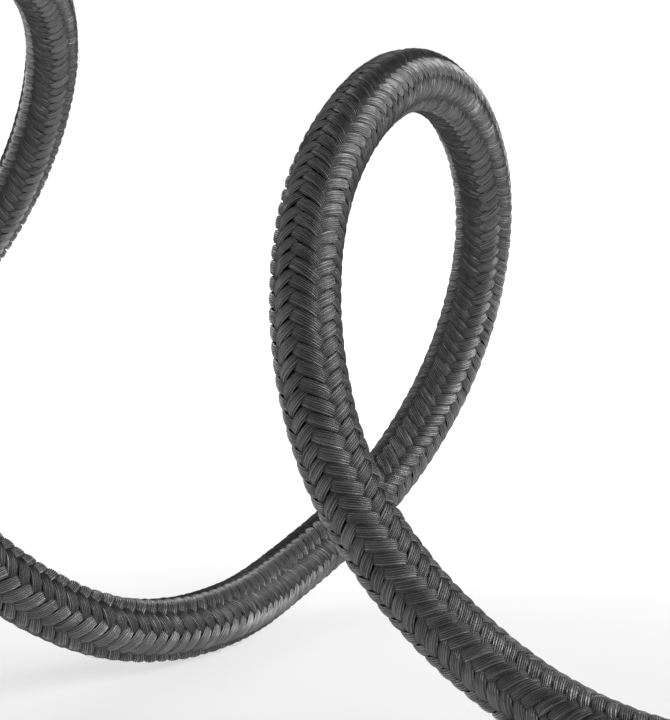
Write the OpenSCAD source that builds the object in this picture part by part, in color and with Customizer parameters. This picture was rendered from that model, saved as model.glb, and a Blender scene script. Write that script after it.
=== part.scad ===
// Cable shutter release: a grip with a spring-loaded plunger, a braided cable that stands in two
// open loops, and a swivelling tapered thread for a camera's release socket.
// Millimetres, +Z up. The grip lies along X on its finger disc, with its thumb button at +X,
// and the origin is on the table under the middle of the grip.

/* [Cable] */
// Outside diameter of the braided textile cover
cover_d = 5; // [4.6:0.1:5.4]
// Outside diameter of the close-wound steel conduit under the cover
conduit_d = 3.6; // [3.2:0.1:4]
// Bore of the conduit
conduit_bore = 1.4; // [1.2:0.1:1.8]
// Diameter of the core wire that carries the thrust
wire_d = 1; // [0.8:0.1:1.1]
// Sides of the swept tubes
tube_sides = 10; // [8:2:12]

/* [Motion] */
// Travel of the thumb button, and of the release pin with it
travel = 8; // [5:0.5:9]
// Advance of the lock screw over its one turn
lock_advance = 0.4; // [0.3:0.05:0.5]

/* [Boots and ferrules] */
// Length of the rubber boot at the grip
boot_len = 18; // [16:1:24]
// Length of the rubber boot at the camera end
end_boot_len = 16; // [14:1:20]
// Wall of a boot at its mouth
boot_tip_wall = 0.75; // [0.6:0.05:1]
// Largest diameter of the grip's boot
boot_base_d = 8.4; // [8:0.1:8.8]
// Largest diameter of the camera end's boot
end_boot_base_d = 7.6; // [7.2:0.1:7.8]
// Number of moulded ribs on a boot
boot_ribs = 4; // [3:1:6]
// Depth of the grooves between a boot's ribs
rib_depth = 0.45; // [0.3:0.05:0.6]
// Rounding of a boot's edges
boot_edge = 0.3; // [0.2:0.05:0.4]
// Length of each boot that is pushed over its ferrule
boot_grip = 10; // [8:0.5:11]
// Wall of the crimped ferrules
ferrule_wall = 0.5; // [0.4:0.05:0.7]
// Thickness of the ferrules' end walls
ferrule_end = 1.4; // [1:0.1:2]
// Length of the camera end's ferrule between its boot and the end tube
ferrule_bare = 2; // [1.5:0.1:4]
// Length of bare conduit past the end of the cover, inside a ferrule
conduit_proud = 3; // [2:0.5:4]

/* [Barrel] */
// Outside diameter of the barrel
barrel_d = 9; // [8.6:0.1:9.6]
// Bore of the barrel
barrel_bore = 6.6; // [6.4:0.1:7]
// Depth of the ferrule's seat in the barrel's nose
ferrule_seat = 10; // [8:0.5:12]
// Thickness of the web between the ferrule and the spring
web_t = 2; // [1.5:0.1:3]
// Diameter of the raised band that carries the lock screw
band_d = 10.8; // [10.2:0.1:11.6]
// Length of the raised band
band_len = 8; // [6:0.5:8.5]
// Length of the bevel at the barrel's nose
nose_bevel = 0.6; // [0.3:0.1:1]
// Length of the bevel up to the raised band
band_bevel = 0.5; // [0.3:0.1:1]
// Number of turned grip grooves round the barrel
groove_count = 4; // [2:1:6]
// Width of a grip groove
groove_w = 0.8; // [0.6:0.1:1]
// Depth of a grip groove
groove_depth = 0.35; // [0.2:0.05:0.5]
// Plain length of the barrel before the first grip groove
groove_start = 4; // [2:0.5:6]
// Plain length of the barrel after the last grip groove
groove_stop = 2; // [1:0.5:4]
// Distance from the finger disc's hub to the lock screw's axis
lock_back = 4.5; // [3:0.1:5.5]

/* [Guide cap and finger disc] */
// Length of the guide cap's sleeve inside the barrel
sleeve_len = 14.8; // [14.4:0.1:18]
// Diameter of the guide cap's flange
flange_d = 10.4; // [10:0.1:11]
// Thickness of the guide cap's flange
flange_t = 3; // [2:0.1:4]
// Length of the bevel at the flange's outer edge
flange_bevel = 1; // [0.6:0.1:1.4]
// Countersink at the mouth of the stem's bore
bore_countersink = 0.5; // [0.3:0.1:0.8]
// Width of the two spanner notches in the flange
notch_w = 1.2; // [1:0.1:1.6]
// Depth of a spanner notch from the flange's outside
notch_depth = 1.5; // [1:0.1:1.8]
// Depth of a spanner notch along the grip
notch_len = 0.8; // [0.5:0.1:1]
// Diameter of the finger disc
disc_d = 20; // [18:0.5:24]
// Thickness of the finger disc at its rim
disc_t = 2; // [1.6:0.1:2.6]
// Length of the finger disc's hub
hub_len = 6; // [5:0.5:6.5]
// Diameter of the finger disc's hub
hub_d = 11.6; // [11:0.1:12.4]
// Fillet between the finger disc's hub and its faces
disc_fillet = 0.8; // [0.5:0.1:1.2]
// Rounding of the finger disc's rim
disc_edge = 0.5; // [0.3:0.05:0.8]

/* [Plunger] */
// Diameter of the plunger stem
stem_d = 3; // [2.6:0.1:3.4]
// Length of the return spring at rest
spring_len = 15; // [14:0.5:18]
// Wire of the return spring
spring_wire = 0.5; // [0.4:0.05:0.6]
// Mean diameter of the return spring
spring_d = 4.6; // [4.4:0.1:5.2]
// Turns of the return spring
spring_turns = 7; // [5:1:8]
// Diameter of the stop collar pressed on the stem
collar_d = 5.8; // [5.4:0.1:6.2]
// Thickness of the stop collar
collar_t = 2; // [1.5:0.1:3]
// Diameter of the nipple soldered to the core wire
nipple_d = 2.8; // [2.4:0.1:3.2]
// Length of the nipple's head
nipple_head = 2; // [1.5:0.1:2.4]
// Diameter of the nipple's spigot in the stem
spigot_d = 1.8; // [1.5:0.1:2]
// Length of the nipple's spigot
spigot_len = 4; // [3:0.5:5]
// Diameter of the thumb button
button_d = 13; // [11:0.5:15]
// Height of the thumb button
button_h = 4.5; // [4:0.1:6]
// Depth of the stem's socket in the thumb button
button_socket = 3; // [2:0.1:3.4]
// Diameter of the flat on the thumb button's top
button_flat_d = 9.4; // [8:0.1:10]
// Rounding of the thumb button's upper edge, down its side
button_edge = 1.2; // [0.8:0.1:1.6]
// Height of the thumb button's underside up to its widest place
button_under = 2.5; // [2:0.1:2.8]
// Wall of the boss round the stem under the thumb button
boss_wall = 1.2; // [0.8:0.1:1.6]
// Height of the boss under the thumb button
boss_h = 0.8; // [0.5:0.1:1.2]
// Clearance left under the thumb button when it is fully pressed
button_clear = 2.5; // [1:0.1:4]
// Gap left between the nipple and the web when the button is fully pressed
nipple_clear = 0.5; // [0.3:0.1:1]

/* [Lock screw] */
// Diameter of the lock screw's shank
screw_d = 2; // [1.8:0.1:2.4]
// Diameter of the lock screw's knurled head
screw_head_d = 6; // [5:0.1:7]
// Height of the lock screw's head
screw_head_h = 3.2; // [2.5:0.1:3.8]
// Ridges round the lock screw's head
screw_ridges = 18; // [14:1:22]
// Thickness of the brass pad at the lock screw's tip
pad_t = 0.9; // [0.7:0.1:1.2]
// Bevel at the lower edge of the lock screw's head
head_bevel = 0.4; // [0.2:0.05:0.6]
// Bevel at the upper edge of the lock screw's head
head_top_bevel = 0.5; // [0.3:0.05:0.8]
// Diameter of the pad's spigot in the lock screw
pad_spigot_d = 0.9; // [0.7:0.1:1]
// Length of the pad's spigot
pad_spigot_len = 1.1; // [0.8:0.1:1.4]

/* [Camera end] */
// Outside diameter of the end tube
tube_d = 3.8; // [3.6:0.05:4]
// Diameter of the release pin
pin_d = 1.5; // [1.4:0.05:1.6]
// Depth of the end tube's socket in its ferrule
tube_socket = 5; // [4:0.5:7]
// Diameter of the end tube's flange, on which the swivel hangs
tube_flange_d = 5.8; // [5.4:0.1:6]
// Thickness of the end tube's flange
tube_flange_t = 1; // [0.8:0.1:1.4]
// Length of end tube past its flange
tube_past_flange = 3.2; // [2.5:0.1:4]
// Length of end tube behind the release pin, inside the ferrule
pin_inset = 2; // [1:0.1:3]
// Diameter of the knurled swivel collar
swivel_d = 8; // [7.8:0.1:9]
// Length of the swivel collar behind the flange
swivel_back = 5.6; // [4:0.1:8]
// Length of the swivel collar from the flange's back face to its front
swivel_front = 6; // [5:0.1:8]
// Bevel at both ends of the swivel collar
swivel_bevel = 0.8; // [0.5:0.1:1]
// Plain length at both ends of the swivel collar, outside its knurl
swivel_plain = 1.4; // [1:0.1:2]
// Ridges round the swivel collar
swivel_ridges = 26; // [20:1:30]
// Depth of a knurl groove
knurl_depth = 0.25; // [0.15:0.05:0.3]
// Large diameter of the tapered thread
thread_big_d = 3.9; // [3.8:0.05:4]
// Small diameter of the tapered thread
thread_small_d = 3.3; // [3.2:0.05:3.4]
// Length of the tapered thread
thread_len = 6.5; // [5.5:0.5:8]
// Pitch of the tapered thread
thread_pitch = 0.5; // [0.45:0.05:0.6]
// Depth of the tapered thread
thread_depth = 0.28; // [0.2:0.02:0.3]
// Depth that the pin's tip lies inside the nose at rest
pin_recess = 0.3; // [0.1:0.1:1]
// Length of the plain neck between the collar's face and the tapered thread
neck_len = 0.8; // [0.6:0.1:1.5]

// Rounding of the release pin's tip
pin_edge = 0.2; // [0.1:0.05:0.4]

/* [Clearances] */
// Radial clearance of a running fit
running = 0.05; // [0.03:0.01:0.08]
// Radial room round a piece that passes through without touching
pass = 0.15; // [0.1:0.01:0.2]
// Radial room between the nested layers of the cable
nest = 0.05; // [0.03:0.01:0.1]
// Axial gap between pieces that turn or stop against each other
end_gap = 0.2; // [0.1:0.05:0.3]
// Gap left between the lock pad and the stem when the lock screw is turned in
pad_gap = 0.02; // [0.01:0.01:0.05]

/* [Hidden] */
$fn = 64;
tiny = 0.01;

// The grip, from the cable's exit at -X to the thumb button at +X
exit_x = -40;
axis_z = disc_d / 2;
nose_x = exit_x + boot_len;
grip_ferrule_x = nose_x - boot_grip;
seat_x = nose_x + ferrule_seat;
web_x = seat_x + web_t;
collar_x = web_x + spring_len;
sleeve_x = collar_x + collar_t + end_gap;
barrel_end_x = sleeve_x + sleeve_len;
hub_x = barrel_end_x - hub_len;
band_x = hub_x - band_len;
lock_x = hub_x - lock_back;
cap_end_x = barrel_end_x + flange_t;
button_x = cap_end_x + travel + button_clear;
stem_x = web_x + nipple_head + travel + nipple_clear;
grip_wire_x = nose_x;

// The cable's layers
cover_bore = conduit_d + 2 * nest;
ferrule_d = cover_d + 2 * ferrule_wall + 2 * nest;

// The camera end, measured along its axis from the mouth of its boot
tip_x = -236;
tip_y = 11.5;
tip_z = swivel_d / 2;
end_ferrule_at = end_boot_len - boot_grip;
end_ferrule_len = boot_grip + ferrule_bare + tube_socket + ferrule_end;
tube_at = end_ferrule_at + end_ferrule_len - tube_socket;
swivel_at = end_ferrule_at + end_ferrule_len + 2 * end_gap;
flange_at = swivel_at + swivel_back;
nose_at = flange_at + tube_flange_t + 2 * end_gap;
shoulder_at = flange_at + swivel_front;
tube_end_at = flange_at + tube_flange_t + tube_past_flange;
thread_at = shoulder_at + neck_len;
nose_end_at = thread_at + thread_len;
pin_at = tube_at + pin_inset;
pin_solder = 3;
pin_wire_at = pin_at - travel - pin_solder;
wire_gap = 0.5;

// The cable's centreline from the grip's boot to the camera end's boot. It lies on the table,
// rises in a loop, touches down, rises in a taller loop, and lies on the table again.
route = concat(
    [[exit_x, 0, axis_z], [-55, -1, 8], [-73, -5.5, 4.5], [-90.5, -6.5, 2.5]],
    [[-99.5, -3, 2.5], [-109, 4.5, 4], [-116.5, 9.5, 9], [-123, 12, 18], [-125.5, 15, 28]],
    [[-124.5, 21.5, 37.5], [-121, 30, 43], [-117, 40.5, 44.5], [-113.5, 49.5, 42]],
    [[-111, 57.5, 35], [-111.5, 62, 25.5], [-115, 62.5, 16], [-121.5, 58.5, 7.5]],
    [[-127.5, 51, 3.5], [-132.5, 39.5, 2.5], [-139.5, 30.5, 3.5], [-148, 24.5, 9]],
    [[-154.5, 22.5, 16.5], [-159.5, 23.5, 27.5], [-161.5, 29.5, 39], [-160.5, 39.5, 48]],
    [[-156.5, 49.5, 53.5], [-151.5, 61, 54.5], [-149.5, 72.5, 50.5], [-151, 83, 42.5]],
    [[-156, 91, 32], [-163.5, 95.5, 22], [-173.5, 95, 12], [-184.5, 89.5, 5.5]],
    [[-196, 80.5, 2.5], [-209, 66, 2.5], [-222, 48.5, 2.5], [-232, 30.5, 3]],
    [[tip_x, tip_y, tip_z]]
);

// A point on the grip's axis, and one on the camera end's axis
function on_grip(x) = [x, 0, axis_z];
function on_tip(at) = [tip_x, tip_y - at, tip_z];

// The route carried on into both ferrules, from x on the grip's axis to at on the tip's axis
function inside_ends(x, at) = concat([on_grip(x)], route, [on_tip(at)]);

function unit(v) = v / norm(v);

// Direction of the path at each of its points
function headings(p) = [
    for (i = [0:len(p) - 1]) unit(p[min(i + 1, len(p) - 1)] - p[max(i - 1, 0)])
];

// A side direction at each point, carried along the headings without twist
function sides_along(h, i = 0, side = [0, 0, 1]) =
    let (s = unit(side - (side * h[i]) * h[i]))
    i == len(h) - 1 ? [s] : concat([s], sides_along(h, i + 1, s));

// Points of a ring of n corners round each point of the path
function rings(p, r, n) =
    let (h = headings(p), s = sides_along(h))
    [
        for (i = [0:len(p) - 1], k = [0:n - 1])
            p[i] + r * (cos(360 * k / n) * s[i] + sin(360 * k / n) * cross(h[i], s[i]))
    ];

// Triangles of a wall of rings, where the first ring's first corner is number at
function wall(count, n, at, outward) = [
    for (i = [0:count - 2], k = [0:n - 1])
        let (
            a = at + i * n + k, b = at + i * n + (k + 1) % n,
            c = at + (i + 1) * n + (k + 1) % n, d = at + (i + 1) * n + k
        )
        each outward ? [[a, d, c], [a, c, b]] : [[a, c, d], [a, b, c]]
];

// Triangles between an outer ring and an inner ring of the same end
function lip(n, outer, inner, first) = [
    for (k = [0:n - 1])
        let (a = outer + k, b = outer + (k + 1) % n, c = inner + (k + 1) % n, d = inner + k)
        each first ? [[a, b, c], [a, c, d]] : [[a, c, b], [a, d, c]]
];

// A hollow tube swept along the path
module swept_tube(path, outer_r, inner_r, n) {
    count = len(path);
    half = count * n;
    last = (count - 1) * n;
    polyhedron(
        points = concat(rings(path, outer_r, n), rings(path, inner_r, n)),
        faces = concat(
            wall(count, n, 0, true), wall(count, n, half, false),
            lip(n, 0, half, true), lip(n, last, half + last, false)
        )
    );
}

// A solid rod swept along the path
module swept_rod(path, r, n) {
    count = len(path);
    last = (count - 1) * n;
    polyhedron(
        points = rings(path, r, n),
        faces = concat(
            wall(count, n, 0, true),
            [[for (k = [0:n - 1]) k]], [[for (k = [n - 1:-1:0]) last + k]]
        )
    );
}

// A coil spring from z = 0 to z = length, with its wire's ends inside that length
module coil(mean_d, wire, length, turns) {
    steps = 12;
    rise = length - wire - 2 * tiny;
    path = [
        for (i = [0:steps * turns])
            let (a = 360 * i / steps)
            [mean_d / 2 * cos(a), mean_d / 2 * sin(a), wire / 2 + tiny + rise * i / (steps * turns)]
    ];
    swept_rod(path, wire / 2, 6);
}

// Turns local Z to the grip's axis, so that a height is a place along X
module along_grip() translate([0, 0, axis_z]) rotate([0, 90, 0]) children();

// Turns local Z to the camera end's axis, so that a height is a place along that axis
module along_tip() translate([tip_x, tip_y, tip_z]) rotate([90, 0, 0]) children();

// A turned piece from its half section, given as [radius, place]
module turned(section) rotate_extrude() polygon(section);

// A turned ring from inner to outer diameter, between two places
module ring_between(inner_d, outer_d, from, to)
    turned([[inner_d / 2, from], [outer_d / 2, from], [outer_d / 2, to], [inner_d / 2, to]]);

// Straight knurl: grooves cut in a cylinder of diameter d between two places
module knurl_grooves(d, from, to, count)
    for (i = [0:count - 1])
        rotate(360 * i / count)
            translate([d / 2 + knurl_depth / 2, 0, from])
                cylinder(r = 1.5 * knurl_depth, h = to - from, $fn = 16);

// Outer line of a boot that widens from its mouth to its base, with moulded ribs
function boot_line(tip_d, base_d, length) =
    let (pitch = length / (boot_ribs + 3), groove = 0.4 * pitch, slope = rib_depth / 4.5)
    concat(
        [[tip_d / 2 - 2 / 3 * boot_edge, 0], [tip_d / 2, boot_edge]],
        [
            for (i = [0:boot_ribs - 1])
                let (
                    at = 0.8 * pitch + i * pitch,
                    r = (tip_d + (base_d - tip_d) * at / length) / 2
                )
                each [
                    [r, at], [r - rib_depth, at + slope],
                    [r - rib_depth, at + groove], [r, at + groove + slope]
                ]
        ],
        [
            [base_d / 2, length - 4 * boot_edge], [base_d / 2, length - boot_edge],
            [base_d / 2 - boot_edge, length]
        ]
    );

// A rubber boot: its mouth fits the cover and its base is pushed over the ferrule
module boot(base_d, length) {
    mouth_d = cover_d + 2 * nest;
    turned(concat(
        [[mouth_d / 2, 0]],
        boot_line(mouth_d + 2 * boot_tip_wall, base_d, length),
        [[ferrule_d / 2, length], [ferrule_d / 2, length - boot_grip], [mouth_d / 2, length - boot_grip]]
    ));
}

module thumb_button() {
    top_x = button_x + button_h;
    color([0.09, 0.09, 0.1])
        along_grip()
            turned([
                [0, button_x + button_socket], [stem_d / 2, button_x + button_socket],
                [stem_d / 2, button_x], [stem_d / 2 + boss_wall, button_x],
                [stem_d / 2 + 4 / 3 * boss_wall, button_x + boss_h],
                [button_d / 2 - 0.56 * button_under, button_x + 0.68 * button_under],
                [button_d / 2 - 0.12 * button_under, button_x + 0.8 * button_under],
                [button_d / 2, button_x + button_under], [button_d / 2, top_x - button_edge],
                [button_d / 2 - button_edge / 3, top_x - button_edge / 2.4],
                [button_flat_d / 2, top_x], [0, top_x]
            ]);
}

module plunger_stem() {
    color([0.72, 0.73, 0.75])
        along_grip()
            difference() {
                translate([0, 0, stem_x])
                    cylinder(d = stem_d, h = button_x + button_socket - stem_x);
                translate([0, 0, stem_x - tiny])
                    cylinder(d = spigot_d, h = spigot_len + tiny);
            }
}

module stop_collar() {
    color([0.75, 0.62, 0.32])
        along_grip() ring_between(stem_d, collar_d, collar_x, collar_x + collar_t);
}

module wire_nipple() {
    color([0.75, 0.62, 0.32])
        along_grip()
            turned([
                [wire_d / 2, stem_x - nipple_head], [nipple_d / 2, stem_x - nipple_head],
                [nipple_d / 2, stem_x], [spigot_d / 2, stem_x],
                [spigot_d / 2, stem_x + spigot_len], [wire_d / 2, stem_x + spigot_len]
            ]);
}

module core_wire_grip_end() {
    color([0.6, 0.61, 0.63])
        along_grip()
            translate([0, 0, grip_wire_x])
                cylinder(d = wire_d, h = stem_x + spigot_len - grip_wire_x);
}

module return_spring() {
    color([0.6, 0.61, 0.63])
        along_grip()
            translate([0, 0, web_x]) coil(spring_d, spring_wire, spring_len, spring_turns);
}

module guide_cap() {
    bore = stem_d + 2 * running;
    color([0.78, 0.79, 0.8])
        along_grip()
            difference() {
                turned([
                    [bore / 2, sleeve_x], [barrel_bore / 2, sleeve_x],
                    [barrel_bore / 2, barrel_end_x], [flange_d / 2, barrel_end_x],
                    [flange_d / 2, cap_end_x - flange_bevel],
                    [flange_d / 2 - 0.9 * flange_bevel, cap_end_x],
                    [bore / 2 + bore_countersink, cap_end_x], [bore / 2, cap_end_x - bore_countersink]
                ]);
                translate([0, 0, lock_x])
                    rotate([0, -90, 0])
                        cylinder(d = screw_d + 2 * running, h = barrel_bore);
                for (side = [-1, 1])
                    translate([0, side * flange_d / 2, cap_end_x])
                        cube([notch_w, 2 * notch_depth, 2 * notch_len], center = true);
            }
}

module finger_disc() {
    rim_x = hub_x + (hub_len - disc_t) / 2;
    back_x = rim_x + disc_t;
    rim_r = disc_d / 2;
    hub_r = hub_d / 2;
    hub_bevel = 0.6 * disc_edge;
    shoulder = 0.3 * disc_edge;
    color([0.78, 0.79, 0.8])
        along_grip()
            turned([
                [barrel_d / 2, hub_x], [hub_r - hub_bevel, hub_x], [hub_r, hub_x + hub_bevel],
                [hub_r, rim_x - disc_fillet], [hub_r + disc_fillet, rim_x],
                [rim_r - disc_edge, rim_x], [rim_r - shoulder, rim_x + shoulder],
                [rim_r, rim_x + disc_edge], [rim_r, back_x - disc_edge],
                [rim_r - shoulder, back_x - shoulder],
                [rim_r - disc_edge, back_x], [hub_r + disc_fillet, back_x],
                [hub_r, back_x + disc_fillet], [hub_r, barrel_end_x],
                [barrel_d / 2, barrel_end_x]
            ]);
}

// Outer line of the barrel's grip grooves, one after another between nose and band
function groove_line() =
    let (
        first_x = nose_x + groove_start, pitch = (band_x - groove_stop - first_x) / groove_count,
        slope = groove_w / 8
    )
    [
        for (i = [0:groove_count - 1])
            let (at = first_x + i * pitch)
            each [
                [barrel_d / 2, at], [barrel_d / 2 - groove_depth, at + slope],
                [barrel_d / 2 - groove_depth, at + groove_w], [barrel_d / 2, at + groove_w + slope]
            ]
    ];

module barrel() {
    color([0.78, 0.79, 0.8])
        along_grip()
            difference() {
                turned(concat(
                    [
                        [ferrule_d / 2, nose_x], [(barrel_d - nose_bevel / 0.6) / 2, nose_x],
                        [barrel_d / 2, nose_x + nose_bevel]
                    ],
                    groove_line(),
                    [
                        [barrel_d / 2, band_x - band_bevel], [band_d / 2, band_x],
                        [band_d / 2, hub_x],
                        [barrel_d / 2, hub_x], [barrel_d / 2, barrel_end_x],
                        [barrel_bore / 2, barrel_end_x], [barrel_bore / 2, web_x],
                        [wire_d / 2 + pass, web_x], [wire_d / 2 + pass, seat_x],
                        [ferrule_d / 2, seat_x]
                    ]
                ));
                translate([0, 0, lock_x])
                    rotate([0, -90, 0])
                        cylinder(d = screw_d + 2 * running, h = band_d);
            }
}

// Height of the pad's face over the grip's axis, before the lock screw is turned in
pad_z = stem_d / 2 + lock_advance + pad_gap;

module lock_screw() {
    tip = pad_z + pad_t + running;
    head = band_d / 2 + lock_advance + end_gap;
    color([0.78, 0.79, 0.8])
        translate([lock_x, 0, axis_z])
            difference() {
                union() {
                    translate([0, 0, tip]) cylinder(d = screw_d, h = head - tip + 1);
                    turned([
                        [0, head], [screw_head_d / 2 - head_bevel, head],
                        [screw_head_d / 2, head + head_bevel],
                        [screw_head_d / 2, head + screw_head_h - head_top_bevel],
                        [screw_head_d / 2 - head_top_bevel, head + screw_head_h],
                        [0, head + screw_head_h]
                    ]);
                }
                translate([0, 0, tip - tiny])
                    cylinder(d = pad_spigot_d + 2 * running, h = pad_spigot_len + 1.5 * end_gap);
                knurl_grooves(screw_head_d, head - 1, head + screw_head_h + 1, screw_ridges);
            }
}

module lock_pad() {
    color([0.75, 0.62, 0.32])
        translate([lock_x, 0, axis_z + pad_z]) {
            cylinder(d = screw_d - 4 * running, h = pad_t);
            cylinder(d = pad_spigot_d, h = pad_t + pad_spigot_len);
        }
}

module grip_ferrule() {
    cover_end_x = seat_x - ferrule_end - conduit_proud;
    color([0.7, 0.71, 0.73])
        along_grip()
            turned([
                [cover_d / 2 + nest / 2, grip_ferrule_x], [ferrule_d / 2, grip_ferrule_x],
                [ferrule_d / 2, seat_x], [wire_d / 2 + pass, seat_x],
                [wire_d / 2 + pass, seat_x - ferrule_end],
                [conduit_d / 2 + nest / 2, seat_x - ferrule_end],
                [conduit_d / 2 + nest / 2, cover_end_x], [cover_d / 2 + nest / 2, cover_end_x]
            ]);
}

module grip_boot() {
    color([0.1, 0.1, 0.1])
        along_grip() translate([0, 0, exit_x]) boot(boot_base_d, boot_len);
}

module braided_cover() {
    color([0.17, 0.17, 0.18])
        swept_tube(
            inside_ends(
                seat_x - ferrule_end - conduit_proud - tiny,
                tube_at - conduit_proud - tiny
            ),
            cover_d / 2, cover_bore / 2, tube_sides
        );
}

module spiral_conduit() {
    color([0.5, 0.51, 0.53])
        swept_tube(
            inside_ends(seat_x - ferrule_end - tiny, tube_at - tiny),
            conduit_d / 2, conduit_bore / 2, tube_sides
        );
}

module core_wire() {
    color([0.6, 0.61, 0.63])
        swept_rod(
            inside_ends(grip_wire_x - travel - wire_gap, pin_wire_at - wire_gap),
            wire_d / 2, tube_sides
        );
}

module end_boot() {
    color([0.1, 0.1, 0.1]) along_tip() boot(end_boot_base_d, end_boot_len);
}

module end_ferrule() {
    end_at = end_ferrule_at + end_ferrule_len;
    cover_end_at = tube_at - conduit_proud;
    color([0.78, 0.79, 0.8])
        along_tip()
            turned([
                [cover_d / 2 + nest / 2, end_ferrule_at], [ferrule_d / 2, end_ferrule_at],
                [ferrule_d / 2, end_at - ferrule_wall], [ferrule_d / 2 - ferrule_wall, end_at],
                [tube_d / 2, end_at], [tube_d / 2, tube_at],
                [conduit_d / 2 + nest / 2, tube_at], [conduit_d / 2 + nest / 2, cover_end_at],
                [cover_d / 2 + nest / 2, cover_end_at]
            ]);
}

module end_tube() {
    bore = pin_d + 2 * running;
    color([0.7, 0.71, 0.73])
        along_tip()
            turned([
                [bore / 2, tube_at], [tube_d / 2, tube_at], [tube_d / 2, flange_at],
                [tube_flange_d / 2, flange_at], [tube_flange_d / 2, flange_at + tube_flange_t],
                [tube_d / 2, flange_at + tube_flange_t], [tube_d / 2, tube_end_at],
                [bore / 2, tube_end_at]
            ]);
}

module swivel_collar() {
    seat_d = tube_flange_d + 2 * pass;
    step_at = flange_at - end_gap / 2;
    color([0.78, 0.79, 0.8])
        along_tip()
            difference() {
                turned([
                    [tube_d / 2 + running, swivel_at], [swivel_d / 2 - swivel_bevel, swivel_at],
                    [swivel_d / 2, swivel_at + swivel_bevel],
                    [swivel_d / 2, shoulder_at - swivel_bevel],
                    [swivel_d / 2 - 0.75 * swivel_bevel, shoulder_at], [seat_d / 2, shoulder_at],
                    [seat_d / 2, step_at], [tube_d / 2 + running, step_at]
                ]);
                knurl_grooves(
                    swivel_d, swivel_at + swivel_plain, shoulder_at - swivel_plain, swivel_ridges
                );
            }
}

// Outer line of the tapered thread, with a V for each pitch
function thread_line() =
    let (teeth = floor(thread_len / thread_pitch))
    [
        for (i = [0:teeth - 1], half = [0, 1])
            let (
                at = (i + half / 2) * thread_pitch,
                d = thread_big_d + (thread_small_d - thread_big_d) * at / thread_len
            )
            [d / 2 - (half == 0 ? thread_depth : 0), thread_at + at]
    ];

module threaded_nose() {
    seat_d = tube_flange_d + 2 * pass;
    color([0.78, 0.79, 0.8])
        along_tip()
            turned(concat(
                [
                    [tube_d / 2 + running, nose_at], [seat_d / 2, nose_at],
                    [seat_d / 2, shoulder_at], [thread_big_d / 2 - thread_depth, shoulder_at]
                ],
                thread_line(),
                [
                    [thread_small_d / 2 - thread_depth, nose_end_at],
                    [pin_d / 2 + pass, nose_end_at], [pin_d / 2 + pass, tube_end_at + end_gap],
                    [tube_d / 2 + running, tube_end_at + end_gap]
                ]
            ));
}

module release_pin() {
    pin_end_at = nose_end_at - pin_recess;
    color([0.82, 0.83, 0.85])
        along_tip()
            turned([
                [wire_d / 2, pin_at], [pin_d / 2, pin_at], [pin_d / 2, pin_end_at - pin_edge],
                [pin_d / 2 - pin_edge, pin_end_at], [0, pin_end_at],
                [0, pin_at + pin_solder], [wire_d / 2, pin_at + pin_solder]
            ]);
}

module core_wire_pin_end() {
    color([0.6, 0.61, 0.63])
        along_tip()
            translate([0, 0, pin_wire_at])
                cylinder(d = wire_d, h = pin_at + pin_solder - pin_wire_at);
}

thumb_button();
plunger_stem();
stop_collar();
wire_nipple();
core_wire_grip_end();
return_spring();
guide_cap();
finger_disc();
barrel();
lock_screw();
lock_pad();
grip_ferrule();
grip_boot();
braided_cover();
spiral_conduit();
core_wire();
end_boot();
end_ferrule();
end_tube();
swivel_collar();
threaded_nose();
release_pin();
core_wire_pin_end();
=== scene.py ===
import math

import bpy
import numpy as np
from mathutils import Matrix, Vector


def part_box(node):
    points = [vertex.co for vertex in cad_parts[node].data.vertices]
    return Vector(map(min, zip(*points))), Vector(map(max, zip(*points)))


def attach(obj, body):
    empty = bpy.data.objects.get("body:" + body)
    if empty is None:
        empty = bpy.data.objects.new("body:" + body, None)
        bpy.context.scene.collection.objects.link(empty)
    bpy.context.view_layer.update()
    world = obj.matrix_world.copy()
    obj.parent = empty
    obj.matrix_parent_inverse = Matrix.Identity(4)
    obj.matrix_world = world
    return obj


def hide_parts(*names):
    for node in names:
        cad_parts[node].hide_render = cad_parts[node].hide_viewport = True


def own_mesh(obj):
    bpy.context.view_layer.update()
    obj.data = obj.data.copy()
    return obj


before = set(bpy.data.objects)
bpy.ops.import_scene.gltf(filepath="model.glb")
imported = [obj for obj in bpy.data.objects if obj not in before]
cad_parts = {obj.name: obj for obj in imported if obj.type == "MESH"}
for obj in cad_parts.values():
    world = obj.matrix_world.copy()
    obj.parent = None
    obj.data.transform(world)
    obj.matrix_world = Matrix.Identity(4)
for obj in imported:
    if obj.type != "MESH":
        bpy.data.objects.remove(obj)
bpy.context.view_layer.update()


# ---------------------------------------------------------------- the camera
# A long macro lens low over the table, which looks along +Y at the nearer loop, 7 degrees down.
# The lens is chosen, and its place and tilt are those at which the cable's loops line up.
lens = bpy.data.cameras.new("macro_lens")
lens.sensor_width = 36
lens.lens = 120
lens.clip_start = 0.005
lens.clip_end = 20
camera = bpy.data.objects.new("camera", lens)
camera.location = (-0.12355, -0.14654, 0.04578)
camera.rotation_euler = (math.radians(90 - 7.03), 0, 0)
bpy.context.scene.collection.objects.link(camera)
bpy.context.scene.camera = camera


# ------------------------------------------------------------- the core wire
# A rod of spring steel runs through the whole cable and carries the thumb's push. The line below
# is the middle of the cable from boot to boot: two loops that the stiff cable stands in by
# itself, and three stretches that lie on the table.

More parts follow.
